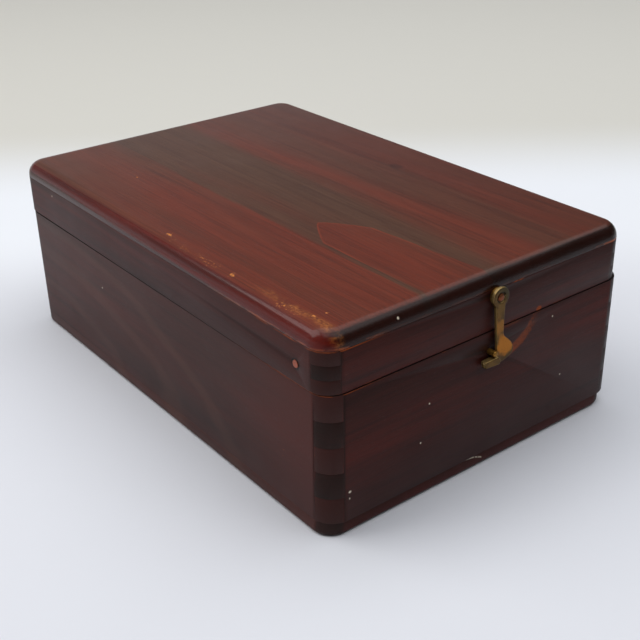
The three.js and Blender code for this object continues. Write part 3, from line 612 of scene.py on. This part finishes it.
looks = {
    "lid_top_board": top_board(),
    "lid_left_rail": side_wood("wood_lid_left", "y", 4.1, None, 0.15),
    "lid_right_rail": side_wood("wood_lid_right", "y", 5.3),
    "lid_front_rail": side_wood("wood_lid_front", "x", 6.9),
    "lid_back_rail": side_wood("wood_lid_back", "x", 8.2),
    "body_left_wall": side_wood("wood_left", "y", 9.4, left_figure, 0.36),
    "body_right_wall": side_wood("wood_right", "y", 10.6),
    "body_front_wall": side_wood("wood_front", "x", 12.3),
    "body_back_wall": side_wood("wood_back", "x", 13.8),
    "base_board": side_wood("wood_base", "y", 9.4, left_figure, 0.36),
}
for node, material in looks.items():
    paint(NODES[node], material)
    soften(NODES[node], 0.14)

bare_y = bare_wood("cedar_long", "y", 2.5)
bare_x = bare_wood("cedar_cross", "x", 3.5)
for node in NODES:
    if node.startswith(("liner", "divider", "tray")):
        crosswise = node in (
            "liner_front", "liner_back", "divider_cross_1", "divider_cross_2",
            "tray_front", "tray_back", "tray_partition",
        )
        paint(NODES[node], bare_x if crosswise else bare_y)
        soften(NODES[node], 0.5)

brass = old_brass("brass_hook", 1.0)
hinge_brass = old_brass("brass_hinges", 6.0)
copper = old_brass("brass_reddish", 3.0, srgb(140, 70, 48))
for node in NODES:
    if node.startswith("hinge"):
        paint(NODES[node], hinge_brass)
        soften(NODES[node], 0.12)


def melt(obj, cell, passes):
    """Rounds every edge of a small casting, as handling does."""
    grid = obj.modifiers.new("grid", "REMESH")
    grid.mode = "VOXEL"
    grid.voxel_size = cell * MM
    relax = obj.modifiers.new("relax", "SMOOTH")
    relax.factor = 0.5
    relax.iterations = passes
    for polygon in obj.data.polygons:
        polygon.use_smooth = True
    grid.use_smooth_shade = True


for node, material in (
    ("latch_hook", hook_brass()),
    ("latch_catch_pin", brass),
    ("latch_washer", brass),
    ("latch_pivot_screw", copper),
):
    paint(NODES[node], material)
    melt(NODES[node], 0.2, 4)


def peg_wood():
    """End grain of the peg: orange-brown, with a rim darkened as painted shade."""
    g = Graph("peg_wood")
    mm = g.stretch(g.coords.outputs["Object"], (1000, 1000, 1000))
    _, y, z = g.split(mm)
    out = g.radius(g.add(y, -PEG_Y), g.add(z, -PEG_Z))
    rings = g.noise(g.stretch(mm, (0.2, 2.2, 2.2), (7, 0, 0)), 1, 3, 0.6)
    colour = g.mix(g.ramp(rings, 0.35, 0.7), srgb(168, 70, 14), srgb(112, 40, 8))
    # Painted shade: the rim is darkened where the domed end turns down to the rail.
    colour = g.mix(g.ramp(out, 1.6, 2.2), colour, srgb(52, 22, 12))
    g.set("Base Color", colour)
    g.set("Roughness", g.add(g.mul(rings, 0.2), 0.3))
    g.bump(rings, 0.0001, 0.5)
    return g.material


paint(NODES["lid_corner_peg"], peg_wood())
melt(NODES["lid_corner_peg"], 0.2, 8)

red_velvet = velvet("velvet_red", srgb(112, 20, 30), srgb(58, 8, 16), 1.0)
green_felt = velvet("felt_green", srgb(44, 78, 54), srgb(22, 44, 30), 4.0, 0.7)


# ---------------------------------------------------------------- soft goods
SIM_FRAMES = 20
PAD_CENTRE_X, PAD_HALF_X, PAD_HALF_Y = -1, 88.5, 138.7
PAD_CROWN, PAD_ROLL, PAD_CORNER, PAD_MARGIN = 2.6, 2.6, 4, 0.6
PAD_PRESSURE, PAD_GROWTH, PAD_GUARD = 0.3, 0.0008, 3.5


def rows(half, step, roll):
    """Places across a pad from edge to edge, closer together where its edge rolls over."""
    rim = [half - roll * part for part in (0.0, 0.08, 0.3, 0.62, 1.0)]
    inner = half - roll
    count = max(2, round(2 * inner / step))
    middle = [inner * (2 * i / count - 1) for i in range(1, count)]
    return [-r for r in rim] + middle + rim[::-1]


def pad_form(name, node, step, roll, corner, face, up, material, body, inset=0.0):
    """A closed pad in a node's space. face(x, y) is how far its face lies above the CAD's."""
    low, high = (Vector(c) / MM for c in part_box(node))
    centre, half = (low + high) / 2, (high - low) / 2 - Vector((inset, inset, 0))
    top, bottom = (high.z, low.z) if up > 0 else (low.z, high.z)
    xs, ys = rows(half.x, step[0], roll), rows(half.y, step[1], roll)
    points = []
    for x in xs:
        for y in ys:
            edge = min(half.x - abs(x), half.y - abs(y))
            drop = roll - math.sqrt(max(roll**2 - max(roll - edge, 0) ** 2, 0))
            beyond = Vector((abs(x) - half.x + corner, abs(y) - half.y + corner))
            px, py = x, y
            if beyond.x > 0 and beyond.y > 0:
                beyond *= max(beyond) / beyond.length
                px = math.copysign(half.x - corner + beyond.x, x)
                py = math.copysign(half.y - corner + beyond.y, y)
            z = top + up * (face(px + centre.x, py + centre.y) - drop)
            points.append(Vector((px + centre.x, py + centre.y, z)))
    nx, ny = len(xs), len(ys)
    faces = []
    for i in range(nx - 1):
        for j in range(ny - 1):
            a = i * ny + j
            quad = (a, a + ny, a + ny + 1, a + 1)
            faces.append(quad if up > 0 else quad[::-1])
    loop = [i * ny for i in range(nx)]
    loop += [(nx - 1) * ny + j for j in range(1, ny)]
    loop += [i * ny + ny - 1 for i in range(nx - 2, -1, -1)]
    loop += [j for j in range(ny - 2, 0, -1)]
    first, face_count = len(points), len(faces)
    for k, index in enumerate(loop):
        following = loop[(k + 1) % len(loop)]
        quad = (following, index, first + index, first + following)
        faces.append(quad if up > 0 else quad[::-1])
    rounded = len(faces)
    faces += [tuple(first + index for index in quad[::-1]) for quad in faces[:face_count]]
    points += [Vector((p.x, p.y, bottom)) for p in points]
    mesh = bpy.data.meshes.new(name)
    mesh.from_pydata([p * MM for p in points], [], faces)
    mesh.validate()
    for polygon in mesh.polygons:
        polygon.use_smooth = polygon.index < rounded
    mesh.materials.append(material)
    obj = bpy.data.objects.new(name, mesh)
    scene.collection.objects.link(obj)
    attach(obj, body)
    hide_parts(node)
    return obj, list(range(first, len(points)))


def inflate(obj, held, pressure, growth, cap):
    """Blows a pad up as cloth, with the held points fixed and no point moving past cap."""
    mesh = obj.data
    start = [v.co.copy() for v in mesh.vertices]
    group = obj.vertex_groups.new(name="held")
    group.add(held, 1.0, "REPLACE")
    cloth = obj.modifiers.new("cloth", "CLOTH")
    cloth.settings.vertex_group_mass = "held"
    cloth.settings.quality = 6
    cloth.settings.mass = 0.2
    cloth.settings.tension_stiffness = 12
    cloth.settings.compression_stiffness = 8
    cloth.settings.shear_stiffness = 4
    cloth.settings.bending_stiffness = 0.4
    cloth.settings.use_pressure = True
    cloth.settings.uniform_pressure_force = pressure
    cloth.settings.shrink_min = -growth
    cloth.settings.effector_weights.gravity = 0
    cloth.collision_settings.use_collision = False
    cloth.point_cache.frame_start = 1
    cloth.point_cache.frame_end = SIM_FRAMES
    for step in range(1, SIM_FRAMES + 1):
        scene.frame_set(step)
    shaped = obj.evaluated_get(bpy.context.evaluated_depsgraph_get()).to_mesh()
    ends = [v.co.copy() for v in shaped.vertices]
    obj.evaluated_get(bpy.context.evaluated_depsgraph_get()).to_mesh_clear()
    obj.modifiers.remove(cloth)
    for vertex, before, after in zip(mesh.vertices, start, ends):
        move = after - before
        if move.length > cap * MM:
            move *= cap * MM / move.length
        vertex.co = before + move
    scene.frame_set(1)


def smoother(obj, levels=1):
    subdivision = obj.modifiers.new("smooth", "SUBSURF")
    subdivision.levels = subdivision.render_levels = levels


def uneven(x, y, amount, size):
    return amount * noise.noise(Vector((x / size, y / size, 3.7)))


def crown(x, y):
    """The lid's panel is stuffed: fullest in the middle, held down round its border."""
    u, v = (x - PAD_CENTRE_X) / PAD_HALF_X, y / PAD_HALF_Y
    return PAD_CROWN * (1 - abs(u) ** 3) * (1 - abs(v) ** 4) + uneven(x, y, 0.35, 30)


panel, panel_back = pad_form(
    "lid_pad_velvet", "lid_pad", (4, 4), PAD_ROLL, PAD_CORNER, crown, -1, red_velvet, "lid",
    PAD_MARGIN,
)
inflate(panel, panel_back, PAD_PRESSURE, PAD_GROWTH, PAD_GUARD)
smoother(panel)

# The pen bed: velvet drawn over a grooved former, so its ridges are round and full.
BED_LOW, BED_HIGH = (Vector(c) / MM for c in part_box("pen_bed"))
GROOVES, GROOVE_RADIUS, GROOVE_LIFT = 8, 9.0, 0.5
PITCH = (BED_HIGH.y - BED_LOW.y) / GROOVES


def groove_depth(y):
    across = ((y - BED_LOW.y) % PITCH) - PITCH / 2
    if abs(across) >= math.sqrt(GROOVE_RADIUS**2 - GROOVE_LIFT**2):
        return 0.0
    return GROOVE_LIFT - math.sqrt(GROOVE_RADIUS**2 - across**2)


def bed_face(x, y):
    spread = 1.1
    weights = [(k / 4, math.exp(-((k / 4) ** 2) / 2)) for k in range(-10, 11)]
    total = sum(weight for _, weight in weights)
    eased = sum(weight * groove_depth(y + k * spread) for k, weight in weights) / total
    return eased + uneven(x, y, 0.22, 11) + uneven(x + 90, y, 0.18, 4)


bed, _ = pad_form(
    "pen_bed_velvet", "pen_bed", (3.2, 0.95), 1.8, 1, bed_face, 1, red_velvet, "pen_tray"
)


def lining_face(x, y):
    return uneven(x, y, 0.1, 17) - 0.12


well, _ = pad_form(
    "well_lining_velvet", "well_lining", (3, 3), 0.45, 1, lining_face, 1, red_velvet, "pen_tray",
)
felt, _ = pad_form(
    "floor_lining_felt", "floor_lining", (4, 4), 0.45, 1, lining_face, 1, green_felt, "case_body",
)


# ---------------------------------------------------------------- floor, lights
def floor_material():
    g = Graph("paper")
    mm = g.stretch(g.coords.outputs["Object"], (1000, 1000, 1000))
    mottle = g.noise(mm, 0.004, 3, 0.5)
    x, y, _ = g.split(mm)
    away = g.add(g.mul(x, 0.606), g.mul(y, 0.795))
    colour = g.mix(mottle, srgb(228, 230, 236), srgb(222, 224, 230))
    # Painted light: the floor is painted brighter a little way off, and darker and greyer far off.
    colour = g.mix(g.ramp(away, 60, 200), colour, srgb(238, 241, 246))
    colour = g.mix(g.ramp(away, 260, 460), colour, srgb(214, 212, 204))
    g.set("Base Color", colour)
    g.set("Roughness", 0.8)
    g.bump(g.noise(mm, 0.02, 3, 0.5), 0.002, 0.3)
    return g.material


floor_mesh = bpy.data.meshes.new("floor")
far = 6.0
floor_mesh.from_pydata(
    [(-far, -far, 0), (far, -far, 0), (far, far, 0), (-far, far, 0)], [], [(0, 1, 2, 3)]
)
floor = bpy.data.objects.new("floor", floor_mesh)
scene.collection.objects.link(floor)
floor_mesh.materials.append(floor_material())


def softbox(name, place, aim, width, height, power, colour):
    data = bpy.data.lights.new(name, "AREA")
    data.shape = "RECTANGLE"
    data.size, data.size_y = width, height
    data.energy = power
    data.color = colour
    lamp = bpy.data.objects.new(name, data)
    lamp.location = place
    lamp.rotation_mode = "QUATERNION"
    lamp.rotation_quaternion = (Vector(aim) - Vector(place)).to_track_quat("-Z", "Y")
    scene.collection.objects.link(lamp)


softbox("window", (-1.2, 1.0, 1.9), (0, 0, 0.05), 1.6, 1.6, 24, (1.0, 0.985, 0.965))
softbox("overhead", (0.5, -0.3, 2.3), (0, 0, 0), 3.0, 3.0, 56, (0.97, 0.98, 1.0))

# The room: bright low down to the left and behind, dim above, dark in front.
world = bpy.data.worlds.new("room")
world.use_nodes = True
scene.world = world
tree = world.node_tree
tree.nodes.clear()


def world_node(kind, inputs, output=0, **settings):
    node = tree.nodes.new(kind)
    for name, value in settings.items():
        setattr(node, name, value)
    for name, value in inputs.items():
        if isinstance(value, bpy.types.NodeSocket):
            tree.links.new(value, node.inputs[name])
        else:
            node.inputs[name].default_value = value
    return node.outputs[output]


def world_ramp(value, low, high, start, end):
    return world_node(
        "ShaderNodeMapRange",
        {"Value": value, "From Min": low, "From Max": high, "To Min": start, "To Max": end},
        interpolation_type="SMOOTHSTEP",
    )


direction = world_node("ShaderNodeTexCoord", {}, "Generated")
toward = world_node(
    "ShaderNodeVectorMath",
    {0: direction, 1: Vector((-0.62, 0.72, 0.25)).normalized()},
    "Value",
    operation="DOT_PRODUCT",
)
level = world_node("ShaderNodeSeparateXYZ", {0: direction}, 2)
side = world_ramp(toward, -0.35, 0.75, 0.07, 1.0)
low_band = world_ramp(level, 0.06, 0.36, 0.95, 0.26)
strength = world_node("ShaderNodeMath", {0: side, 1: low_band}, operation="MULTIPLY")
room = world_node("ShaderNodeBackground", {"Color": (0.93, 0.95, 1.0, 1), "Strength": strength})
out = tree.nodes.new("ShaderNodeOutputWorld")
tree.links.new(room, out.inputs[0])
